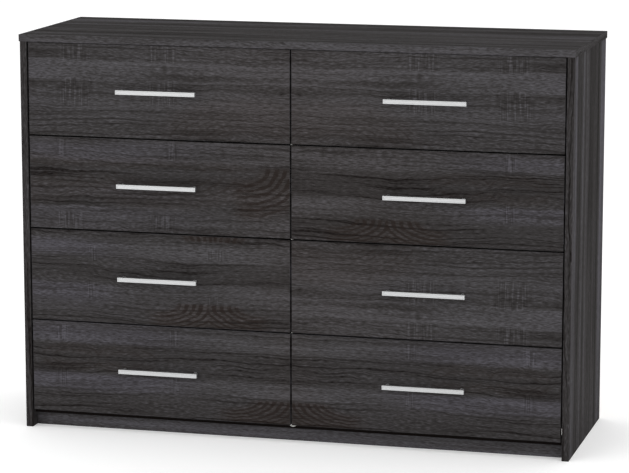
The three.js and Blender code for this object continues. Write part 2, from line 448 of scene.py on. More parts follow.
def speckled(name, scale, colours, roughness, bump_height, stretch=(1, 1, 1), cells=False,
             metallic=0.0):
    """A material of mottled colour and matching relief, for boards, papers, metals and plastics."""
    material, tree, shader = shader_of(name)
    mapping = tree.nodes.new("ShaderNodeMapping")
    mapping.inputs["Scale"].default_value = stretch
    tree.links.new(tree.nodes.new("ShaderNodeTexCoord").outputs["Object"], mapping.inputs["Vector"])
    if cells:
        texture = tree.nodes.new("ShaderNodeTexVoronoi")
        spread = calculate(tree, "MULTIPLY", texture.outputs["Color"], 1.0)
    else:
        texture = tree.nodes.new("ShaderNodeTexNoise")
        texture.inputs["Detail"].default_value = 3
        spread = smooth_step(tree, texture.outputs["Fac"], 0.3, 0.7)
    texture.inputs["Scale"].default_value = scale
    tree.links.new(mapping.outputs["Vector"], texture.inputs["Vector"])
    ramp = tree.nodes.new("ShaderNodeValToRGB")
    ramp.color_ramp.elements[0].color = (*colours[0], 1)
    ramp.color_ramp.elements[1].color = (*colours[-1], 1)
    tree.links.new(spread, ramp.inputs["Fac"])
    tree.links.new(ramp.outputs["Color"], shader.inputs["Base Color"])
    low, high = roughness
    tree.links.new(calculate(tree, "MULTIPLY_ADD", spread, high - low, low), shader.inputs["Roughness"])
    shader.inputs["Metallic"].default_value = metallic
    bump = tree.nodes.new("ShaderNodeBump")
    bump.inputs["Strength"].default_value = 0.3
    bump.inputs["Distance"].default_value = bump_height
    tree.links.new(spread, bump.inputs["Height"])
    tree.links.new(bump.outputs["Normal"], shader.inputs["Normal"])
    return material


chipboard = speckled("bare_chipboard", 420, ((0.16, 0.10, 0.055), (0.50, 0.37, 0.24)), (0.8, 0.95),
                     0.0006, cells=True)
zinc = speckled("zinc_plate", 900, ((0.48, 0.49, 0.50), (0.72, 0.73, 0.74)), (0.28, 0.42), 0.00005,
                metallic=1.0)

# A cam, turned with a cross slot in its face, flush with the board.
cam = round_bar("cam", (0, 0, 0.0001), CAM_RADIUS, 0.0010, (0, 0, 1))
ease_edges(cam, 0.0002)
cut_away(cam, block("slot", (-0.0045, -0.0008, 0.0001), (0.0045, 0.0008, 0.002)),
         block("slot", (-0.0008, -0.0045, 0.0001), (0.0008, 0.0045, 0.002)))
face_with(cam, zinc)

for side, out in SIDES:
    low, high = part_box(f"{side}_side_panel")
    back_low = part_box(f"{side}_back_panel")[0]
    inner = min(abs(low.x), abs(high.x)) * out
    panel = block(f"{side}_panel", (low.x, low.y + EDGING, low.z), high)
    rebate_end = inner + REBATE_WIDTH * out
    rebate = block("rebate", (min(inner - 0.001 * out, rebate_end), back_low.y, low.z - 0.01),
                   (max(inner - 0.001 * out, rebate_end), high.y + 0.01, high.z + 0.01))
    cut_away(panel, rebate)
    start = (0.2 * out, 0.9 + 0.35 * out)
    face_with(panel, oak_board(f"{side}_panel_oak", (0, 0, 1), (1, 1, 0), start, 0.51, 1.4))
    face_with(panel, chipboard, lambda middle, normal: normal.y > 0.5 or abs(normal.z) > 0.5)
    ease_edges(panel, EDGE_EASE)
    fit(panel, "carcass", "oak_laminate", f"{side}_side_panel")

    start = (0.6, 1.1 + 0.7 * out)
    put_edging(f"{side}_panel_edging", low, (high.x, low.y + EDGING, high.z),
               oak_board(f"{side}_panel_edging_oak", (0, 0, 1), (1, 1, 0), start, 0.44, 0.05))

    board_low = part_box("bottom_panel")[1].z
    board_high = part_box("top_panel")[0].z
    number = 0
    for height in (board_low + CAM_FROM_BOARD_END, board_high - CAM_FROM_BOARD_END):
        for depth in (low.y + CAM_FROM_EDGE, high.y - CAM_FROM_EDGE):
            number += 1
            turn = Matrix.Translation((inner, depth, height)) @ Matrix.Rotation(-out * math.pi / 2, 4, "Y")
            fitting = copy_of(cam, f"{side}_panel_cam_{number}", turn)
            fit(fitting, "carcass", "zinc_fittings")
bpy.data.objects.remove(cam)


# ---------------------------------------------------------------------------------------------
# Bottom board and plinths. The bottom lies between the sides. Its front edging is printed almost
# black: painted shade, standing in for the shade that falls under the fronts. Two rails stand under
# it, the front one set back as the plinth, their grain running along.
# The last number is the edging's tone; the bottom board's -0.2 is painted shade.
for node, name, start, tone, edging_tone_and_painted_light in (("bottom_panel", "bottom_board", 0.31, 0.5, -0.2),
                                             # The plinth's paler tones, 0.63 and 0.62, are painted light
                                             # against the shade under the overhang.
                                             ("front_plinth", "plinth", 0.62, 0.63, 0.62),
                                             ("rear_plinth", "rear_plinth_rail", 0.12, 0.5, 0.5)):
    low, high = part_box(node)
    board = block(name, (low.x, low.y + EDGING, low.z), high)
    face_with(board, oak_board(f"{name}_oak", (1, 0, 0), (0, 1, 1), (start, start), tone))
    face_with(board, chipboard, lambda middle, normal: normal.y > 0.5 or abs(normal.x) > 0.5)
    ease_edges(board, EDGE_EASE)
    fit(board, "carcass", "oak_laminate", node)
    edging_start = (start, start + 0.1)
    put_edging(f"{name}_edging", low, (high.x, low.y + EDGING, high.z),
               oak_board(f"{name}_edging_oak", (1, 0, 0), (0, 1, 1), edging_start, edging_tone_and_painted_light, 1.1))


# ---------------------------------------------------------------------------------------------
# A thin strip in the same near-black print under the bottom board along its front edge: painted
# shade, standing in for the shade that falls between the fronts and the plinth.
STRIP_HEIGHT = 0.003
STRIP_DEPTH = 0.011

board_low, board_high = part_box("bottom_panel")
put_edging("shadow_strip", (board_low.x, board_low.y, board_low.z - STRIP_HEIGHT),
           (board_high.x, board_low.y + STRIP_DEPTH, board_low.z),
           oak_board("shadow_strip_oak", (1, 0, 0), (0, 1, 1), (0.8, 0.8), -0.2))


# ---------------------------------------------------------------------------------------------
# Centre partition. A board faced on both sides, standing on the bottom board between the two
# columns of drawers, with its front edge edged.
low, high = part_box("centre_partition")
partition = block("partition", (low.x, low.y + EDGING, low.z), high)
face_with(partition, oak_board("partition_oak", (0, 0, 1), (1, 1, 0), (0.5, 0.5)))
face_with(partition, chipboard, lambda middle, normal: normal.y > 0.5 or abs(normal.z) > 0.5)
ease_edges(partition, EDGE_EASE)
fit(partition, "carcass", "oak_laminate", "centre_partition")
put_edging("partition_edging", low, (high.x, low.y + EDGING, high.z),
           oak_board("partition_edging_oak", (0, 0, 1), (1, 1, 0), (0.2, 0.2)))


# ---------------------------------------------------------------------------------------------
# Top. One board laid over the sides and standing past them by a hair at each end, with its grain
# running along, an edging strip along the front and one on each end.
low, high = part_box("top_panel")
top = block("top_board", (low.x + EDGING, low.y + EDGING, low.z), (high.x - EDGING, high.y, high.z))
# The top's tone of 0.44, darker than the sides', is painted shade offsetting the light and sheen on its
# upper face.
face_with(top, oak_board("top_oak", (1, 0, 0), (0, 1, 1), (0.05, 0.77), 0.44, 1.5))
face_with(top, chipboard, lambda middle, normal: normal.y > 0.5)
ease_edges(top, EDGE_EASE)
fit(top, "carcass", "oak_laminate", "top_panel")
put_edging("top_front_edging", low, (high.x, low.y + EDGING, high.z),
           oak_board("top_front_edging_oak", (1, 0, 0), (0, 1, 1), (0.4, 0.3), 0.62, 0.4))
for side, out in SIDES:
    end = high.x * out
    put_edging(f"top_{side}_edging", (min(end, end - EDGING * out), low.y + EDGING, low.z),
               (max(end, end - EDGING * out), high.y, high.z),
               oak_board(f"top_{side}_edging_oak", (0, 1, 0), (1, 0, 1), (0.4, 0.3 * out)))


# ---------------------------------------------------------------------------------------------
# Back. Two hardboard sheets, printed dark inside and bare brown outside, lie in the rebates and
# meet on the partition's rear edge. Flat-headed nails hold them every 120 mm.
SHEET_SUNK = 0.0005
NAIL_RADIUS = 0.0026
NAIL_PITCH = 0.12
NAIL_FROM_EDGE = 0.005

bare_hardboard = speckled("bare_hardboard", 260, ((0.16, 0.075, 0.032), (0.30, 0.155, 0.075)), (0.75, 0.9),
                          0.0002)
nail = round_bar("nail", (0, 0, 0.00025), NAIL_RADIUS, 0.0005, (0, 0, 1), 12)
ease_edges(nail, 0.0002, 1)
face_with(nail, zinc)
for side, out in SIDES:
    low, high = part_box(f"{side}_back_panel")
    rear = high.y - SHEET_SUNK
    sheet = block(f"{side}_back_sheet", low, (high.x, rear, high.z))
    face_with(sheet, bare_hardboard)
    inside = oak_board(f"{side}_back_print", (0, 0, 1), (1, 1, 0), (0.3, 0.3 * out))
    face_with(sheet, inside, lambda middle, normal: normal.y < -0.5)
    fit(sheet, "carcass", "hardboard", f"{side}_back_panel")
    places = []
    across = round((high.x - low.x) / NAIL_PITCH)
    upward = round((high.z - low.z) / NAIL_PITCH)
    for step in range(across + 1):
        x = low.x + NAIL_FROM_EDGE + (high.x - low.x - 2 * NAIL_FROM_EDGE) * step / across
        places += [(x, high.z - NAIL_FROM_EDGE * 1.5), (x, low.z + NAIL_FROM_EDGE * 1.5)]
    for step in range(1, upward):
        z = low.z + (high.z - low.z) * step / upward
        places += [(low.x + NAIL_FROM_EDGE, z), (high.x - NAIL_FROM_EDGE, z)]
    nails = [
        copy_of(nail, "nail", Matrix.Translation((x, rear, z)) @ Matrix.Rotation(-math.pi / 2, 4, "X"))
        for x, z in places
    ]
    fit(joined(f"{side}_back_nails", nails), "carcass", "zinc_fittings")
bpy.data.objects.remove(nail)


# ---------------------------------------------------------------------------------------------
# Buffers. A thin nylon ring on the bottom board's front edge takes the two lowest fronts, and nylon
# buttons with a nose stand on the partition where four fronts meet. A thin pad stands in the gap
# at the foot of the right side and guides its front.
BUFFER_HOLE_RADIUS = 0.0045
BUTTON_RADIUS = 0.004
BUTTON_HEIGHT = 0.0008
NOSE_RADIUS = 0.0013
NOSE_LENGTH = 0.009
PAD_THICKNESS = 0.0011
PAD_DEPTH = 0.009
PAD_HEIGHT = 0.014
PAD_ABOVE_FRONT_FOOT = 0.016

nylon = speckled("nylon", 160, ((0.54, 0.53, 0.51), (0.64, 0.63, 0.60)), (0.35, 0.5), 0.00005)
low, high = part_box("bottom_buffer")
middle = (low + high) / 2
buffer_ring = round_bar("bottom_buffer_ring", middle, (high.x - low.x) / 2, high.y - low.y, (0, 1, 0), 48)
cut_away(buffer_ring, round_bar("hole", middle, BUFFER_HOLE_RADIUS, 0.02, (0, 1, 0), 32))
ease_edges(buffer_ring, 0.0003, 3)
face_with(buffer_ring, nylon)
fit(buffer_ring, "carcass", "nylon", "bottom_buffer")

edge_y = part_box("centre_partition")[0].y
for row in (1, 2, 3):
    gap = (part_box(f"drawer_front_left_{row}")[0].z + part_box(f"drawer_front_left_{row + 1}")[1].z) / 2
    button = round_bar(f"crossing_button_{row}", (0, edge_y - BUTTON_HEIGHT / 2, gap), BUTTON_RADIUS,
                       BUTTON_HEIGHT, (0, 1, 0), 24)
    weld_on(button, round_bar("nose", (0, edge_y - NOSE_LENGTH / 2, gap), NOSE_RADIUS, NOSE_LENGTH,
                              (0, 1, 0), 24))
    ease_edges(button, 0.0003, 3)
    face_with(button, nylon)
    fit(button, "carcass", "nylon")

inner_x = min(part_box("right_side_panel")[0].x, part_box("right_side_panel")[1].x)
front_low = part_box("drawer_front_right_4")[0]
pad_low = front_low.z + PAD_ABOVE_FRONT_FOOT
pad = block("guide_pad", (inner_x - PAD_THICKNESS, front_low.y, pad_low),
            (inner_x, front_low.y + PAD_DEPTH, pad_low + PAD_HEIGHT))
ease_edges(pad, 0.0004)
face_with(pad, nylon)
fit(pad, "carcass", "nylon")


# ---------------------------------------------------------------------------------------------
# Fixed runners. Each is a channel folded from thin sheet steel with a white baked coat, screwed to
# a side or to the partition, with a nylon roller on a rivet at its front end.
ROWS = (1, 2, 3, 4)
STEEL = 0.0012
FLANGE = 0.006
ROLLER_RADIUS = 0.008
ROLLER_INSET = 0.010
ROLLER_THICKNESS = 0.0043
SCREWS_BEHIND_FRONT = (0.037, 0.165, 0.325)

coated_steel = speckled("white_coated_steel", 500, ((0.74, 0.74, 0.72), (0.80, 0.80, 0.78)), (0.32, 0.45),
                        0.00005)


def folded_channel(name, low, high, open_side):
    """A channel of folded sheet in the space between two corners, open towards one side in x."""
    channel = block(name, low, high)
    work_on_faces(channel, lambda middle, normal: normal.x * open_side > 0.5 or abs(normal.y) > 0.5)
    bpy.ops.mesh.delete(type="FACE")
    bpy.ops.object.mode_set(mode="OBJECT")
    wall = channel.modifiers.new("sheet", "SOLIDIFY")
    wall.thickness = STEEL
    wall.offset = -1
    apply_modifier(channel, wall)
    ease_edges(channel, 0.0004)
    return channel


def roller(name, middle, radius, thickness):
    """A moulded roller with a rounded rim, a dished face and the head of its rivet."""
    wheel = round_bar(name, middle, radius, thickness, (1, 0, 0), 40)
    work_on_faces(wheel, lambda place, normal: abs(normal.x) > 0.5)
    bpy.ops.mesh.inset(thickness=radius * 0.3, use_individual=True)
    bpy.ops.mesh.extrude_region_shrink_fatten(TRANSFORM_OT_shrink_fatten={"value": -0.0005})
    bpy.ops.object.mode_set(mode="OBJECT")
    ease_edges(wheel, 0.0004)
    face_with(wheel, nylon)
    return wheel


def cross_head(name, radius, height):
    """A pan-headed screw's head with a cross recess, standing up from the origin."""
    head = round_bar(name, (0, 0, height / 2), radius, height, (0, 0, 1), 24)
    ease_edges(head, height * 0.4, 2)
    arm, depth = radius * 0.6, height * 0.4
    cut_away(head, block("slot", (-arm, -0.0003, depth), (arm, 0.0003, height * 2)),
             block("slot", (-0.0003, -arm, depth), (0.0003, arm, height * 2)))
    face_with(head, zinc)
    return head


runner_screw = cross_head("runner_screw", 0.003, 0.0009)
for side, out in SIDES:
    for row in ROWS:
        for place in ("outer", "inner"):
            node = f"{place}_runner_{side}_{row}"
            low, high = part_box(node)
            away = -out if place == "outer" else out
            wall_x = low.x if away > 0 else high.x
            edge_x = wall_x + FLANGE * away
            channel = folded_channel(f"{place}_channel_{side}_{row}", (min(wall_x, edge_x), low.y, low.z),
                                     (max(wall_x, edge_x), high.y, high.z), away)
            face_with(channel, coated_steel)
            fit(channel, "carcass", "runner_steel", node)

            axle_y, axle_z = low.y + ROLLER_INSET, (low.z + high.z) / 2
            tip_x = high.x if away > 0 else low.x
            wheel = roller(f"{place}_front_roller_{side}_{row}", (tip_x - away * ROLLER_THICKNESS / 2,
                           axle_y, axle_z), ROLLER_RADIUS, ROLLER_THICKNESS)
            fit(wheel, "carcass", "nylon")
            rivet_length = abs(tip_x - wall_x) - STEEL
            rivet = round_bar(f"{place}_roller_rivet_{side}_{row}", (tip_x - away * rivet_length / 2,
                              axle_y, axle_z), 0.0024, rivet_length, (1, 0, 0), 24)
            ease_edges(rivet, 0.0006)
            face_with(rivet, zinc)
            fit(rivet, "carcass", "zinc_fittings")

            turn = Matrix.Rotation(away * math.pi / 2, 4, "Y")
            heads = [copy_of(runner_screw, "head", Matrix.Translation(
                (wall_x + away * STEEL, low.y + behind, axle_z)) @ turn) for behind in SCREWS_BEHIND_FRONT]
            fit(joined(f"{place}_channel_screws_{side}_{row}", heads), "carcass", "zinc_fittings")
bpy.data.objects.remove(runner_screw)


# ---------------------------------------------------------------------------------------------
# Drawer sides and backs. They are 12 mm boards wrapped in grey foil. A groove along the foot of
# each side takes the bottom, the back stands on the bottom, and screws and cams join the corners.
BOX_BOARD = 0.012
GROOVE_DEPTH = 0.006
GROOVE_PLAY = 0.0001
BOX_SCREW_HEIGHTS = (0.04, 0.12)
BOX_CAM_HEIGHTS = (0.045, 0.12)
BOX_CAM_BEHIND_FRONT = 0.024

grey_foil = speckled("grey_foil", 700, ((0.25, 0.25, 0.245), (0.33, 0.33, 0.325)), (0.5, 0.65), 0.0001,
                     (1, 0.15, 1))
box_screw = cross_head("box_screw", 0.0038, 0.0012)
box_cam = round_bar("box_cam", (0, 0, 0.0001), 0.006, 0.0010, (0, 0, 1))
ease_edges(box_cam, 0.0002)
cut_away(box_cam, block("slot", (-0.0035, -0.0007, 0.0001), (0.0035, 0.0007, 0.002)))
face_with(box_cam, zinc)
for side, out in SIDES:
    for row in ROWS:
        body = f"drawer_{side}_{row}"
        low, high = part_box(f"drawer_box_{side}_{row}")
        sheet_low, sheet_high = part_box(f"drawer_bottom_{side}_{row}")
        for place, left in (("left", True), ("right", False)):
            start_x = low.x if left else high.x - BOX_BOARD
            inner_x = low.x + BOX_BOARD if left else high.x - BOX_BOARD
            inward = 1 if left else -1
            wing = block(f"drawer_{place}_side_{side}_{row}", (start_x, low.y, low.z),
                         (start_x + BOX_BOARD, high.y, high.z))
            groove_x = sorted((inner_x - inward * GROOVE_DEPTH, inner_x + inward * 0.001))
            cut_away(wing, block("groove", (groove_x[0], low.y - 0.01, sheet_low.z - GROOVE_PLAY),
                                 (groove_x[1], high.y + 0.01, sheet_high.z + GROOVE_PLAY)))
            ease_edges(wing, 0.0006)
            face_with(wing, grey_foil)
            face_with(wing, chipboard, lambda middle, normal: abs(normal.y) > 0.9)
            fit(wing, body, "box_board", f"drawer_box_{side}_{row}")

            turn = Matrix.Rotation(-inward * math.pi / 2, 4, "Y")
            outside_x = low.x if left else high.x
            heads = [copy_of(box_screw, "head", Matrix.Translation(
                (outside_x, high.y - BOX_BOARD / 2, low.z + height)) @ turn)
                for height in BOX_SCREW_HEIGHTS]
            fit(joined(f"drawer_{place}_back_screws_{side}_{row}", heads), body, "zinc_fittings")
            turn = Matrix.Rotation(inward * math.pi / 2, 4, "Y")
            cams = [copy_of(box_cam, "cam", Matrix.Translation(
                (inner_x, low.y + BOX_CAM_BEHIND_FRONT, low.z + height)) @ turn)
                for height in BOX_CAM_HEIGHTS]
            fit(joined(f"drawer_{place}_cams_{side}_{row}", cams), body, "zinc_fittings")
        back = block(f"drawer_back_{side}_{row}", (low.x + BOX_BOARD, high.y - BOX_BOARD,
                     sheet_high.z + GROOVE_PLAY), (high.x - BOX_BOARD, high.y, high.z))
        ease_edges(back, 0.0006)
        face_with(back, grey_foil)
        fit(back, body, "box_board")
bpy.data.objects.remove(box_screw)
bpy.data.objects.remove(box_cam)


# ---------------------------------------------------------------------------------------------
# Drawer bottoms. Thin hardboard, grey paper above and bare brown below, slid into the grooves of
# the sides and the front and tacked up into the back.
paper_top = speckled("grey_paper", 320, ((0.36, 0.355, 0.34), (0.45, 0.445, 0.43)), (0.6, 0.75), 0.00005)
for side, out in SIDES:
    for row in ROWS:
        low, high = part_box(f"drawer_bottom_{side}_{row}")
        sheet = block(f"drawer_bottom_sheet_{side}_{row}", low, high)
        ease_edges(sheet, 0.0003, 1)
        face_with(sheet, bare_hardboard)
        face_with(sheet, paper_top, lambda middle, normal: normal.z > 0.5)
        fit(sheet, f"drawer_{side}_{row}", "hardboard", f"drawer_bottom_{side}_{row}")


# ---------------------------------------------------------------------------------------------
# Drawer rails. An angle of the same coated steel is screwed under each drawer side: a lip under
# the board, a web up its outside, a lip out over the front roller, and a roller at its rear end
# that runs inside the fixed channel.
RAIL_OFF_WALL = 0.0113
RAIL_LIP_INWARD = 0.010
RAIL_LIP_OUTWARD = 0.0045
REAR_ROLLER_RADIUS = 0.0074
REAR_ROLLER_THICKNESS = 0.0034
REAR_ROLLER_INSET = 0.009
RAIL_FRONT_INSET = 0.001
RAIL_PLAY = 0.0001


def rail_bar(box, first, second, low_z, high_z):
    """A length of rail between two distances in x, as long as the drawer side."""
    return block("rail_bar", (min(first, second), box[0].y + RAIL_FRONT_INSET, low_z),
                 (max(first, second), box[1].y, high_z))


for side, out in SIDES:
    for row in ROWS:
        body = f"drawer_{side}_{row}"
        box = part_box(f"drawer_box_{side}_{row}")
        low, high = box
        for place in ("outer", "inner"):
            runner_low, runner_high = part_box(f"{place}_runner_{side}_{row}")
            away = -out if place == "outer" else out
            wall_x = runner_low.x if away > 0 else runner_high.x
            web_x = wall_x + RAIL_OFF_WALL * away
            axle_z = (runner_low.z + runner_high.z) / 2
            lip_z = axle_z + ROLLER_RADIUS + RAIL_PLAY
            far_x = web_x + STEEL * away
            web = rail_bar(box, web_x, far_x, low.z - STEEL, lip_z + STEEL)
            rail = settled(web, f"{place}_rail_{side}_{row}")
            weld_on(rail, rail_bar(box, web_x, web_x + RAIL_LIP_INWARD * away, low.z - STEEL, low.z),
                    rail_bar(box, far_x, web_x - RAIL_LIP_OUTWARD * away, lip_z, lip_z + STEEL))
            ease_edges(rail, 0.0003, 1)
            face_with(rail, coated_steel)
            fit(rail, body, "runner_steel")

            wheel_x = wall_x + (FLANGE - REAR_ROLLER_THICKNESS / 2) * away
            wheel_y = high.y - REAR_ROLLER_INSET
            wheel = roller(f"{place}_rear_roller_{side}_{row}", (wheel_x, wheel_y, axle_z),
                           REAR_ROLLER_RADIUS, REAR_ROLLER_THICKNESS)
            fit(wheel, body, "nylon")
            near_x = wheel_x - away * REAR_ROLLER_THICKNESS / 2
            rivet = round_bar(f"{place}_rear_rivet_{side}_{row}", ((near_x + web_x) / 2, wheel_y, axle_z),
                              0.0022, abs(web_x - near_x), (1, 0, 0), 24)
            ease_edges(rivet, 0.0004)
            face_with(rivet, zinc)
            fit(rivet, body, "zinc_fittings")


# ---------------------------------------------------------------------------------------------
# Drawer fronts. 15 mm printed boards edged all round, grain running along, with a groove inside for
# the drawer bottom. They are cut from one long print, some turned over or end for end, so the
# same bands, saw marks and arcs come back mirrored from front to front.
FRONT_HEIGHT = 0.199

# A cluster of saw marks: fine lines across the grain inside a soft-edged patch.
saw_marks, given, result = node_group(
    "saw marks",
    ("Along", "Across", "Middle Along", "Middle Across", "Half Length", "Half Height"),
    ("Marks",),
)
tree = saw_marks
along, across = given["Along"], given["Across"]
lines = smooth_step(tree, stretched_noise(tree, along, across, 320, 14, 1, 23), 0.42, 0.66)
breaks = smooth_step(tree, stretched_noise(tree, along, across, 120, 300, 2, 24), 0.25, 0.55)
lines = calculate(tree, "SUBTRACT", calculate(tree, "MULTIPLY", lines, breaks), 0.32)
fade = 1.0
for position, middle, half in (("Along", "Middle Along", "Half Length"),
                               ("Across", "Middle Across", "Half Height")):
    off = calculate(tree, "ABSOLUTE", calculate(tree, "SUBTRACT", given[position], given[middle]))
    share = calculate(tree, "DIVIDE", off, given[half])
    fade = calculate(tree, "MULTIPLY", fade, smooth_step(tree, share, 1.0, 0.55))
tree.links.new(calculate(tree, "MULTIPLY", lines, fade), result["Marks"])


# Nested arcs: rings round a point on the grain, seen only in the quarter below it on one side, and
# mirrored about a line across the grain, as where two book-matched leaves of veneer meet.
nested_arcs, given, result = node_group(
    "nested arcs",
    ("Along", "Across", "Mirror Line", "Top", "Reach", "Height", "Count", "Whole"),
    ("Ground", "Lines"),
)
tree = nested_arcs
from_line = calculate(tree, "ABSOLUTE", calculate(tree, "SUBTRACT", given["Along"], given["Mirror Line"]))
inward = calculate(tree, "DIVIDE", calculate(tree, "SUBTRACT", given["Reach"], from_line), given["Reach"])
down = calculate(tree, "DIVIDE", calculate(tree, "SUBTRACT", given["Top"], given["Across"]),
                 given["Height"])
radius = calculate(tree, "SQRT", calculate(tree, "ADD", calculate(tree, "POWER", inward, 2),
                                           calculate(tree, "POWER", down, 2)))
mask = calculate(tree, "MULTIPLY", smooth_step(tree, radius, 0.25, 0.5),
                 smooth_step(tree, radius, 1.5, 1.2))
rise = calculate(tree, "MULTIPLY_ADD", given["Whole"], 0.5, 0.08)
mask = calculate(tree, "MULTIPLY", mask, smooth_step(tree, down, -0.05, rise))
far_end = calculate(tree, "MULTIPLY_ADD", given["Whole"], -1.0, -0.35)
mask = calculate(tree, "MULTIPLY", mask,
                 smooth_step(tree, inward, far_end, calculate(tree, "ADD", far_end, 0.45)))
drift = stretched_noise(tree, given["Along"], given["Across"], 22, 50, 1, 29)
turns = calculate(tree, "ADD", calculate(tree, "MULTIPLY", radius, given["Count"]),
                  calculate(tree, "MULTIPLY", drift, 0.9))
wave = calculate(tree, "SINE", calculate(tree, "MULTIPLY", turns, 2 * math.pi))
thin = calculate(tree, "MULTIPLY_ADD", given["Whole"], 0.7, -0.6)
thin = calculate(tree, "MULTIPLY_ADD", down, 0.5, thin)
lines = smooth_step(tree, wave, thin, calculate(tree, "ADD", thin, 0.8))
strength = calculate(tree, "MULTIPLY_ADD", given["Whole"], -0.22, 0.75)
tree.links.new(calculate(tree, "MULTIPLY", calculate(tree, "MULTIPLY", mask, lines), strength),
               result["Lines"])
split = calculate(tree, "MULTIPLY_ADD", given["Whole"], -0.6, 1.0)
tree.links.new(calculate(tree, "MULTIPLY", mask, split), result["Ground"])


# Sheets of the print, in metres out from one end and up from the foot of a front: bands (height and
# tone), saw marks (middle, half length and half height), arcs (mirror line, top, reach, height, number,
# and 1 where both flanks of an arc show), and the stretches over which it turns violet and brown.
SAW_SHEET = {
    "shift": 0.0,
    "bands": ((0.000, 0.51), (0.035, 0.53), (0.075, 0.59), (0.090, 0.57), (0.118, 0.51), (0.122, 0.61),
              (0.150, 0.60), (0.162, 0.61), (0.167, 0.53), (0.199, 0.54)),
    "marks": ((0.280, 0.184, 0.042, 0.026), (0.476, 0.184, 0.042, 0.026),
              (0.280, 0.098, 0.040, 0.032), (0.476, 0.094, 0.042, 0.036)),
    "arcs": ((-0.070, -0.010, 0.160, -0.075, 9, 1),),
    "violet": (0.40, 0.90),
    "brown": (0.40, 0.00),
}
FAN_SHEET = {
    "shift": 1.7,
    "bands": ((0.000, 0.43), (0.046, 0.46), (0.053, 0.55), (0.082, 0.59), (0.093, 0.45), (0.120, 0.41),
              (0.150, 0.44), (0.158, 0.53), (0.178, 0.58), (0.199, 0.51)),
    "marks": ((0.466, 0.178, 0.016, 0.024), (0.466, 0.072, 0.016, 0.024)),
    "arcs": ((0.207, 0.050, 0.110, 0.052, 6.5, 0), (0.425, 0.122, 0.060, 0.024, 2.5, 1),
             (0.425, 0.122, 0.060, -0.024, 2.5, 1)),
    "violet": (0.28, 0.45),
    "brown": (0.45, 0.15),
}
DOUBLE_FAN_SHEET = {
    "shift": 1.7,
    "bands": ((0.000, 0.46), (0.046, 0.55), (0.055, 0.59), (0.080, 0.59), (0.095, 0.46), (0.118, 0.46),
              (0.138, 0.50), (0.150, 0.58), (0.172, 0.60), (0.186, 0.50), (0.199, 0.45)),
    "marks": ((0.442, 0.070, 0.016, 0.022), (0.442, 0.150, 0.014, 0.020), (0.172, 0.060, 0.016, 0.012),
              (0.160, 0.158, 0.030, 0.014)),
    "arcs": ((0.182, 0.050, 0.110, 0.052, 6.5, 0), (0.170, 0.186, 0.100, -0.047, 7, 0)),
    "violet": (0.32, 0.48),
    "brown": (0.20, 0.00),
}
CATHEDRAL_SHEET = {
    "shift": 3.1,
    "bands": ((0.000, 0.52), (0.045, 0.56), (0.056, 0.50), (0.085, 0.53), (0.100, 0.49), (0.125, 0.46),
              (0.145, 0.45), (0.155, 0.56), (0.182, 0.57), (0.199, 0.50)),
    "marks": ((0.072, 0.176, 0.014, 0.024), (0.320, 0.176, 0.016, 0.024),
              (0.090, 0.020, 0.040, 0.022), (0.300, 0.020, 0.036, 0.022)),
    "arcs": ((0.592, 0.148, 0.110, 0.080, 6, 0), (0.130, 0.132, 0.170, 0.060, 6, 1),
             (0.130, 0.132, 0.170, -0.022, 3, 1)),
    "violet": (0.50, 0.20),
    "brown": (0.35, 0.58),
}
HALF_FAN_SHEET = {
    "shift": 4.6,
    "bands": ((0.000, 0.46), (0.046, 0.50), (0.054, 0.58), (0.082, 0.61), (0.094, 0.49), (0.120, 0.45),
              (0.148, 0.46), (0.157, 0.57), (0.178, 0.60), (0.199, 0.53)),
    "marks": ((0.260, 0.176, 0.014, 0.022), (0.514, 0.176, 0.016, 0.022),
              (0.257, 0.072, 0.012, 0.022), (0.514, 0.076, 0.016, 0.024)),
    "arcs": ((0.000, 0.050, 0.130, 0.054, 8, 0), (0.430, 0.122, 0.060, 0.024, 2.5, 1),
             (0.430, 0.122, 0.060, -0.024, 2.5, 1)),
    "violet": (0.15, 0.35),
    "brown": (0.10, 0.00),
}
# side, row: the sheet, +1 or -1 for its direction in x, and whether it is turned over
SHEET_ON_FRONT = {
    ("left", 1): (SAW_SHEET, -1, False), ("right", 1): (SAW_SHEET, 1, False),
    ("left", 2): (CATHEDRAL_SHEET, 1, False), ("right", 2): (FAN_SHEET, 1, False),
    ("left", 3): (DOUBLE_FAN_SHEET, -1, False), ("right", 3): (SAW_SHEET, 1, True),
    ("left", 4): (HALF_FAN_SHEET, -1, False), ("right", 4): (HALF_FAN_SHEET, 1, False),
}


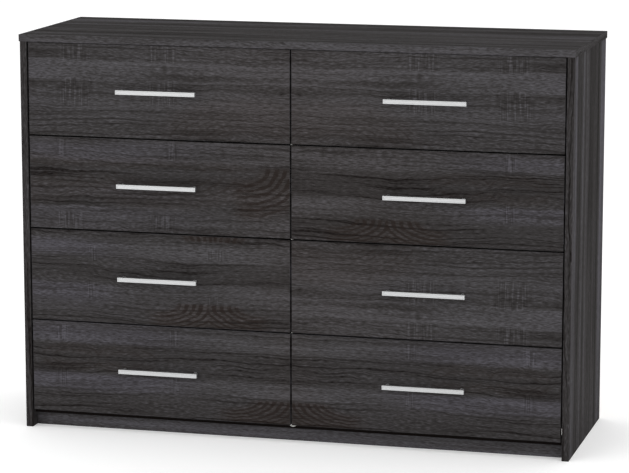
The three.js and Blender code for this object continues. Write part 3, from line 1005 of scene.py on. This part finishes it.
def sheet_pattern(sheet):
    """What a sheet's bands, saw marks and arcs give the print."""

    def drawn_on(tree, along, across):
        bands = tree.nodes.new("ShaderNodeValToRGB")
        while len(bands.color_ramp.elements) < len(sheet["bands"]):
            bands.color_ramp.elements.new(0.5)
        for stop, (height, tone) in zip(bands.color_ramp.elements, sheet["bands"]):
            stop.position = height / FRONT_HEIGHT
            stop.color = (tone, tone, tone, 1)
        wander = calculate(tree, "SUBTRACT", stretched_noise(tree, along, across, 4, 12, 1.5, 31), 0.5)
        height = calculate(tree, "MULTIPLY_ADD", wander, 0.020, across)
        tree.links.new(calculate(tree, "DIVIDE", height, FRONT_HEIGHT), bands.inputs["Fac"])
        violet = calculate(tree, "MULTIPLY", smooth_step(tree, along, *sheet["violet"]),
                           smooth_step(tree, bands.outputs["Color"], 0.48, 0.62))
        marks = 0.0
        for middle_along, middle_across, half_length, half_height in sheet["marks"]:
            cluster = placed(tree, saw_marks, Along=along, Across=across, Middle_Along=middle_along,
                             Middle_Across=middle_across, Half_Length=half_length,
                             Half_Height=half_height)
            marks = calculate(tree, "ADD", marks, cluster["Marks"])
        arc_ground = calculate(tree, "MULTIPLY", smooth_step(tree, along, *sheet["brown"]), 0.35)
        arc_lines = 0.0
        for mirror_line, arc_top, reach, arc_height, number, whole in sheet["arcs"]:
            arcs = placed(tree, nested_arcs, Along=along, Across=across, Mirror_Line=mirror_line,
                          Top=arc_top, Reach=reach, Height=arc_height, Count=number, Whole=whole)
            arc_ground = calculate(tree, "ADD", arc_ground, arcs["Ground"])
            arc_lines = calculate(tree, "ADD", arc_lines, arcs["Lines"])
        return {
            "Along": calculate(tree, "ADD", along, sheet["shift"]),
            "Across": calculate(tree, "ADD", across, sheet["shift"]),
            "Tone": calculate(tree, "MULTIPLY_ADD", violet, 0.03, bands.outputs["Color"]),
            "Violet": violet,
            "Marks": marks,
            "Arc_Ground": arc_ground,
            "Arc_Lines": arc_lines,
        }

    return drawn_on


for side, out in SIDES:
    for row in ROWS:
        node = f"drawer_front_{side}_{row}"
        body = f"drawer_{side}_{row}"
        low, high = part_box(node)
        sheet_low, sheet_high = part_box(f"drawer_bottom_{side}_{row}")
        sheet, direction, turned = SHEET_ON_FRONT[side, row]
        core = block(f"front_{side}_{row}", (low.x + EDGING, low.y, low.z + EDGING),
                     (high.x - EDGING, high.y, high.z - EDGING))
        cut_away(core, block("groove", (sheet_low.x, sheet_low.y, sheet_low.z - GROOVE_PLAY),
                             (sheet_high.x, high.y + 0.01, sheet_high.z + GROOVE_PLAY)))
        grain = (direction, 0, 0)
        start = -low.x if direction > 0 else high.x
        cross = (0, 1, -1) if turned else (0, 1, 1)
        foot = -low.y + (high.z if turned else -low.z)
        face_with(core, oak_board(f"front_{side}_{row}_oak", grain, cross, (start, foot),
                                  pattern=sheet_pattern(sheet)))
        face_with(core, oak_board(f"front_{side}_{row}_inside_oak", (1, 0, 0), (0, 1, 1), (row * 0.4, row)),
                  lambda middle, normal: normal.y > 0.5)
        fit(core, body, "oak_laminate", node)

        rim = block(f"front_edging_{side}_{row}", low, high)
        cut_away(rim, block("opening", (low.x + EDGING, low.y - 0.01, low.z + EDGING),
                            (high.x - EDGING, high.y + 0.01, high.z - EDGING)))
        ease_edges(rim, EDGE_EASE)
        face_with(rim, oak_board(f"front_edging_{side}_{row}_oak", (1, 0, 0), (0, 1, 1), (row * 0.3, row)))
        fit(rim, body, "oak_laminate")


# ---------------------------------------------------------------------------------------------
# Handles. A bar of satin metal with a shallow channel along its face stands on two round posts
# 160 mm apart, held by screws from inside the drawer.
BAR_DEPTH = 0.007
POST_CENTRES = 0.160
CHANNEL_BORDER = 0.0022
CHANNEL_DEPTH = 0.0011

satin, tree, shader = shader_of("satin_metal")
mapping = tree.nodes.new("ShaderNodeMapping")
mapping.inputs["Scale"].default_value = (30, 1500, 1500)
brushing = tree.nodes.new("ShaderNodeTexNoise")
brushing.inputs["Scale"].default_value = 1
tree.links.new(tree.nodes.new("ShaderNodeTexCoord").outputs["Object"], mapping.inputs["Vector"])
tree.links.new(mapping.outputs["Vector"], brushing.inputs["Vector"])
tints = tree.nodes.new("ShaderNodeValToRGB")
tints.color_ramp.elements[0].color = (0.50, 0.505, 0.51, 1)
tints.color_ramp.elements[1].color = (0.60, 0.605, 0.61, 1)
tree.links.new(brushing.outputs["Fac"], tints.inputs["Fac"])
tree.links.new(tints.outputs["Color"], shader.inputs["Base Color"])
dulling = calculate(tree, "MULTIPLY_ADD", brushing.outputs["Fac"], 0.16, 0.30)
tree.links.new(dulling, shader.inputs["Roughness"])
shader.inputs["Metallic"].default_value = 0.75
grooves = tree.nodes.new("ShaderNodeBump")
grooves.inputs["Strength"].default_value = 0.15
grooves.inputs["Distance"].default_value = 0.00005
tree.links.new(brushing.outputs["Fac"], grooves.inputs["Height"])
tree.links.new(grooves.outputs["Normal"], shader.inputs["Normal"])

first_low, first_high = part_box("handle_left_1")
middle = (first_low + first_high) / 2
bar_back = first_low.y + BAR_DEPTH
bar = block("handle", first_low, (first_high.x, bar_back, first_high.z))
work_on_faces(bar, lambda place, normal: normal.y < -0.5)
bpy.ops.mesh.inset(thickness=CHANNEL_BORDER)
bpy.ops.mesh.extrude_region_move(TRANSFORM_OT_translate={"value": (0, CHANNEL_DEPTH, 0)})
bpy.ops.object.mode_set(mode="OBJECT")
post_radius = (first_high.z - first_low.z) / 2 - 0.0003
post_length = first_high.y - bar_back + 0.001
for offset in (-POST_CENTRES / 2, POST_CENTRES / 2):
    post = round_bar("post", (middle.x + offset, first_high.y - post_length / 2, middle.z), post_radius,
                     post_length, (0, 1, 0), 32)
    weld_on(bar, post)
ease_edges(bar, 0.0005, 3)
face_with(bar, satin)
handle_screw = cross_head("handle_screw", 0.004, 0.0022)
for side, out in SIDES:
    for row in ROWS:
        node = f"handle_{side}_{row}"
        body = f"drawer_{side}_{row}"
        low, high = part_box(node)
        handle = copy_of(bar, f"bar_handle_{side}_{row}", Matrix.Translation(low - first_low))
        fit(handle, body, "handle_metal", node)
        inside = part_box(f"drawer_front_{side}_{row}")[1].y
        heads = [copy_of(handle_screw, "head", Matrix.Translation(
            ((low.x + high.x) / 2 + offset, inside, (low.z + high.z) / 2))
            @ Matrix.Rotation(-math.pi / 2, 4, "X")) for offset in (-POST_CENTRES / 2, POST_CENTRES / 2)]
        fit(joined(f"handle_screws_{side}_{row}", heads), body, "zinc_fittings")
bpy.data.objects.remove(bar)
bpy.data.objects.remove(handle_screw)
